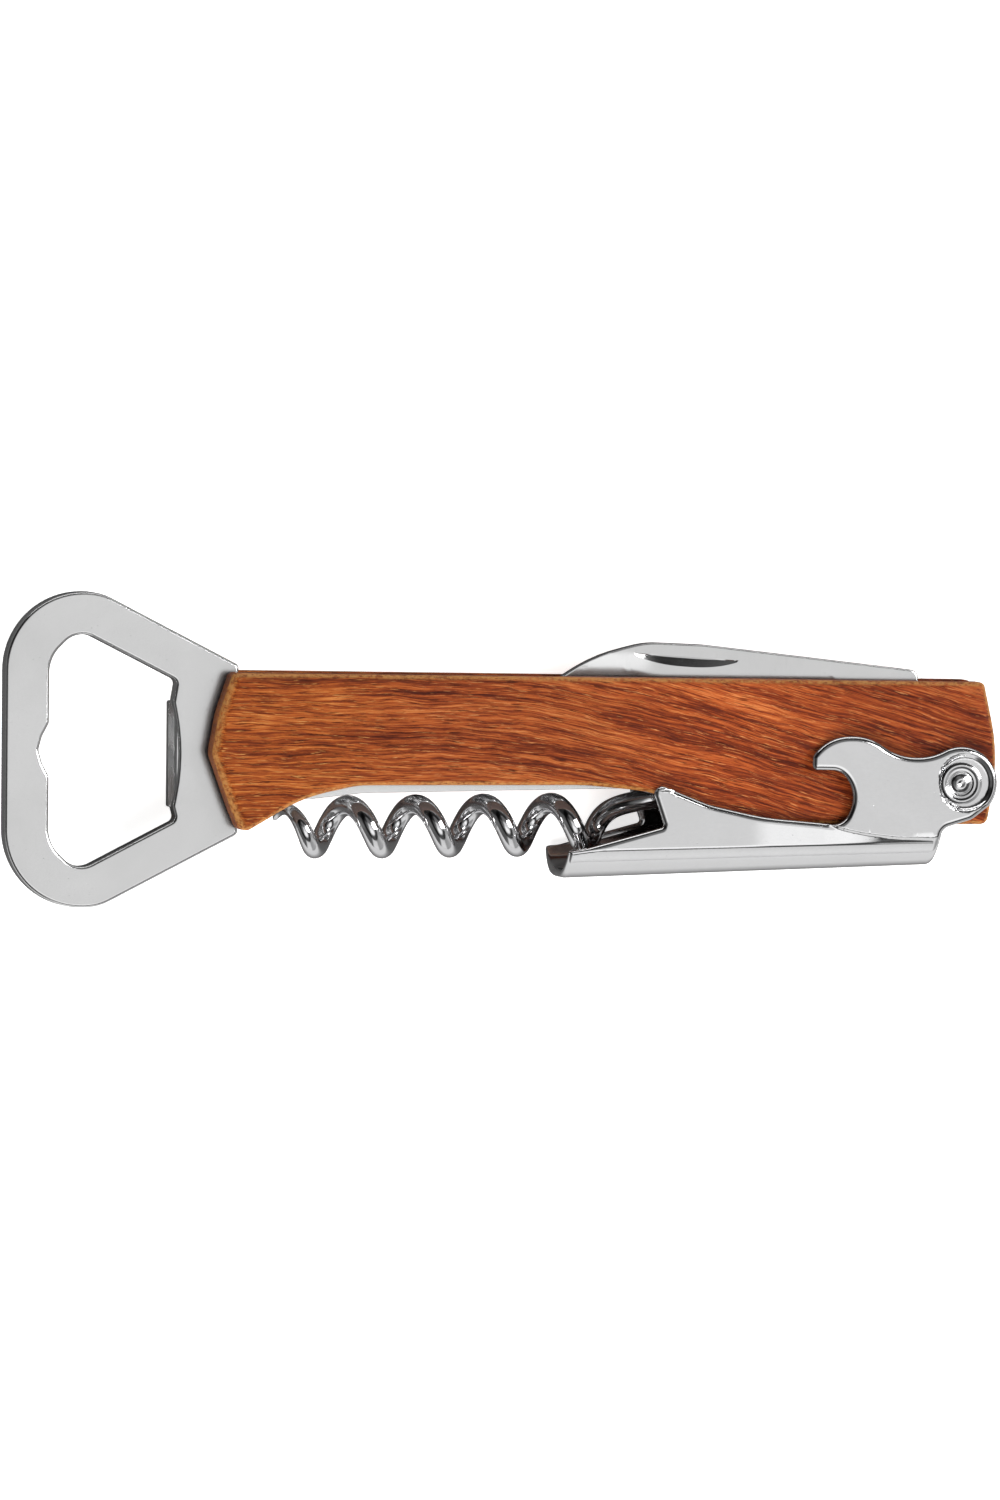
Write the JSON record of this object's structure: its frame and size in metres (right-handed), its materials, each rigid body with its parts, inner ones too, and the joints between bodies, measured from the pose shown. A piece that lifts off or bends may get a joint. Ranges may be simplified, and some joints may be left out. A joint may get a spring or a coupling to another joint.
{
  "type": "waiters corkscrew",
  "caption": "Folding waiter's corkscrew with wooden grip scales, crown cap loop, foil knife, wire worm and hooked boot lever.",
  "frame": {"origin": "middle of the object's length and width, at the face it lies on", "axes": "+X from the crown cap loop to the lever's rivet, +Y from the worm to the knife, +Z through the thickness and along every hinge"},
  "size_m": [0.1396, 0.0438, 0.0178],
  "materials": {
    "satin_steel": "satin stamped stainless steel",
    "liner_steel": "satin sheet steel",
    "wood": "reddish brown open-pored hardwood, oiled",
    "spring_steel": "plain steel",
    "brass": "plain brass",
    "rivet_chrome": "polished nickel plate",
    "blade_steel": "finely ground stainless steel",
    "worm_chrome": "polished chrome wire",
    "lever_chrome": "bright nickel plated sheet steel"
  },
  "bodies": {
    "handle": {"opener_plate": "satin_steel", "liner_front": "liner_steel", "liner_back": "liner_steel", "wood_scale_front": "wood", "wood_scale_back": "wood", "back_spring": "spring_steel", "spring_pins": "spring_steel", "tang_rivets": "spring_steel", "worm_pin": "spring_steel", "blade_pin": "spring_steel", "blade_washers": "brass", "rivet_spacer": "spring_steel", "lever_rivet": "rivet_chrome", "rivet_cup_front": "rivet_chrome", "rivet_cup_back": "rivet_chrome"},
    "boot_lever": {"lever": "lever_chrome"},
    "corkscrew": {"worm": "worm_chrome"},
    "knife": {"knife_blade": "blade_steel"}
  },
  "joints": [
    {"name": "lever_pivot", "type": "hinge", "parent": "handle", "child": "boot_lever", "pos_m": [0.0646, -0.0044, 0.0089], "axis": [0, 0, 1], "range_deg": [0, 150]},
    {"name": "worm_pivot", "type": "hinge", "parent": "handle", "child": "corkscrew", "pos_m": [0.02745, -0.0052, 0.0089], "axis": [0, 0, 1], "range_deg": [0, 90]},
    {"name": "blade_pivot", "type": "hinge", "parent": "handle", "child": "knife", "pos_m": [0.0566, 0.0065, 0.0089], "axis": [0, 0, -1], "range_deg": [0, 165]}
  ],
  "couplings": [
    {"joint": "worm_pivot", "follows": "lever_pivot", "ratio": 0.6}
  ]
}
